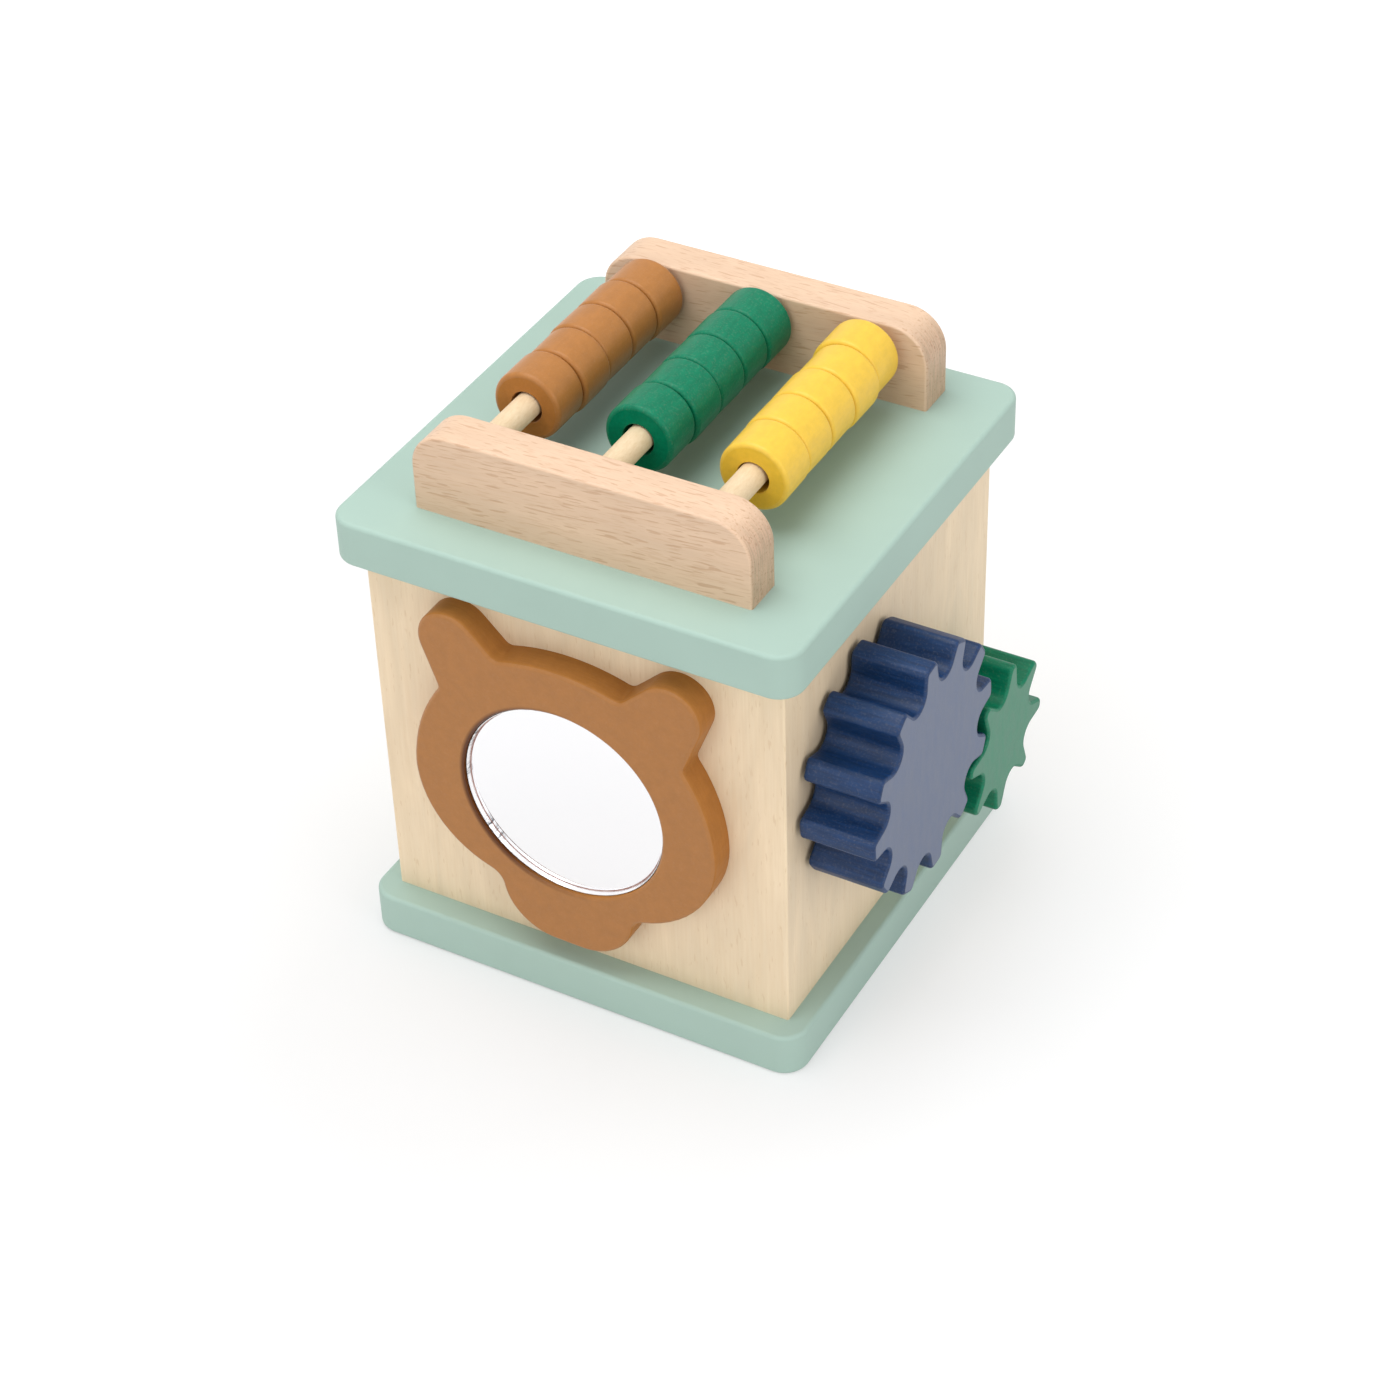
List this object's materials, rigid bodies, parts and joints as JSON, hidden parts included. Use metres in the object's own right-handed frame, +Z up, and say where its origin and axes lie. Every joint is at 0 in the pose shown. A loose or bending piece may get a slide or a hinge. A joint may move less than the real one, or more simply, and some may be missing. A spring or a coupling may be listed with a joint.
{
  "type": "activity cube",
  "caption": "Wooden toddler activity cube: painted boards, birch body, bead rods on top, a mirror in a bear-head frame, meshed gears, a sliding knob and a turning wheel.",
  "frame": {"origin": "centre of the base board's underside", "axes": "+Z up, the mirror faces -Y, the gears face +X, the turning wheel faces +Y"},
  "size_m": [0.1779, 0.1578, 0.186],
  "materials": {
    "mint_paint": "matt paint",
    "birch": "clear matt lacquer",
    "beech": "clear matt lacquer",
    "dowel_wood": "sanded",
    "brown_paint": "satin stain",
    "green_paint": "satin stain",
    "yellow_paint": "satin stain",
    "navy_paint": "satin stain",
    "mirror": "polished",
    "steel": "zinc plated"
  },
  "bodies": {
    "cube": {"base_board": "mint_paint", "top_board": "mint_paint", "front_panel": "birch", "right_panel": "birch", "back_panel": "birch", "left_panel": "birch", "corner_posts": "dowel_wood", "base_screws": "steel", "top_dowels": "dowel_wood", "front_bracket": "beech", "rear_bracket": "beech", "bracket_dowels": "dowel_wood", "rod_left": "dowel_wood", "rod_middle": "dowel_wood", "rod_right": "dowel_wood", "mirror_frame": "brown_paint", "mirror_disc": "mirror"},
    "large_gear_set": {"large_gear": "navy_paint", "large_gear_axle": "dowel_wood", "large_gear_washer": "dowel_wood", "large_gear_collar": "dowel_wood"},
    "small_gear_set": {"small_gear": "green_paint", "small_gear_axle": "dowel_wood", "small_gear_washer": "dowel_wood", "small_gear_collar": "dowel_wood"},
    "knob_set": {"sliding_knob": "navy_paint", "knob_stem": "dowel_wood", "knob_collar": "dowel_wood"},
    "wheel_set": {"turning_wheel": "yellow_paint", "wheel_axle": "dowel_wood", "wheel_washer": "dowel_wood", "wheel_collar": "dowel_wood"},
    "brown_bead_5": {"bead_brown_5": "brown_paint"},
    "brown_bead_4": {"bead_brown_4": "brown_paint"},
    "brown_bead_3": {"bead_brown_3": "brown_paint"},
    "brown_bead_2": {"bead_brown_2": "brown_paint"},
    "brown_bead_1": {"bead_brown_1": "brown_paint"},
    "green_bead_5": {"bead_green_5": "green_paint"},
    "green_bead_4": {"bead_green_4": "green_paint"},
    "green_bead_3": {"bead_green_3": "green_paint"},
    "green_bead_2": {"bead_green_2": "green_paint"},
    "green_bead_1": {"bead_green_1": "green_paint"},
    "yellow_bead_5": {"bead_yellow_5": "yellow_paint"},
    "yellow_bead_4": {"bead_yellow_4": "yellow_paint"},
    "yellow_bead_3": {"bead_yellow_3": "yellow_paint"},
    "yellow_bead_2": {"bead_yellow_2": "yellow_paint"},
    "yellow_bead_1": {"bead_yellow_1": "yellow_paint"}
  },
  "joints": [
    {"name": "large_gear_spin", "type": "hinge", "parent": "cube", "child": "large_gear_set", "pos_m": [0.06825, -0.0225, 0.0889], "axis": [1, 0, 0], "continuous": true},
    {"name": "small_gear_spin", "type": "hinge", "parent": "cube", "child": "small_gear_set", "pos_m": [0.06825, 0.02909, 0.06239], "axis": [1, 0, 0], "continuous": true},
    {"name": "wheel_spin", "type": "hinge", "parent": "cube", "child": "wheel_set", "pos_m": [0, 0.06675, 0.0785], "axis": [0, 1, 0], "continuous": true},
    {"name": "knob_slide", "type": "slide", "parent": "cube", "child": "knob_set", "axis": [0, -1, 0], "range_m": [0, 0.0621]},
    {"name": "brown_bead_5_slide", "type": "slide", "parent": "cube", "child": "brown_bead_5", "axis": [0, -1, 0], "range_m": [-0.0013, 0.0041]},
    {"name": "brown_bead_4_slide", "type": "slide", "parent": "brown_bead_5", "child": "brown_bead_4", "axis": [0, -1, 0], "range_m": [0, 0.0041]},
    {"name": "brown_bead_3_slide", "type": "slide", "parent": "brown_bead_4", "child": "brown_bead_3", "axis": [0, -1, 0], "range_m": [0, 0.0041]},
    {"name": "brown_bead_2_slide", "type": "slide", "parent": "brown_bead_3", "child": "brown_bead_2", "axis": [0, -1, 0], "range_m": [0, 0.0041]},
    {"name": "brown_bead_1_slide", "type": "slide", "parent": "brown_bead_2", "child": "brown_bead_1", "axis": [0, -1, 0], "range_m": [0, 0.0041]},
    {"name": "green_bead_5_slide", "type": "slide", "parent": "cube", "child": "green_bead_5", "axis": [0, -1, 0], "range_m": [-0.0013, 0.0041]},
    {"name": "green_bead_4_slide", "type": "slide", "parent": "green_bead_5", "child": "green_bead_4", "axis": [0, -1, 0], "range_m": [0, 0.0041]},
    {"name": "green_bead_3_slide", "type": "slide", "parent": "green_bead_4", "child": "green_bead_3", "axis": [0, -1, 0], "range_m": [0, 0.0041]},
    {"name": "green_bead_2_slide", "type": "slide", "parent": "green_bead_3", "child": "green_bead_2", "axis": [0, -1, 0], "range_m": [0, 0.0041]},
    {"name": "green_bead_1_slide", "type": "slide", "parent": "green_bead_2", "child": "green_bead_1", "axis": [0, -1, 0], "range_m": [0, 0.0041]},
    {"name": "yellow_bead_5_slide", "type": "slide", "parent": "cube", "child": "yellow_bead_5", "axis": [0, -1, 0], "range_m": [-0.0033, 0.0037]},
    {"name": "yellow_bead_4_slide", "type": "slide", "parent": "yellow_bead_5", "child": "yellow_bead_4", "axis": [0, -1, 0], "range_m": [0, 0.0037]},
    {"name": "yellow_bead_3_slide", "type": "slide", "parent": "yellow_bead_4", "child": "yellow_bead_3", "axis": [0, -1, 0], "range_m": [0, 0.0037]},
    {"name": "yellow_bead_2_slide", "type": "slide", "parent": "yellow_bead_3", "child": "yellow_bead_2", "axis": [0, -1, 0], "range_m": [0, 0.0037]},
    {"name": "yellow_bead_1_slide", "type": "slide", "parent": "yellow_bead_2", "child": "yellow_bead_1", "axis": [0, -1, 0], "range_m": [0, 0.0037]}
  ],
  "couplings": [
    {"joint": "small_gear_spin", "follows": "large_gear_spin", "ratio": -1.5}
  ]
}
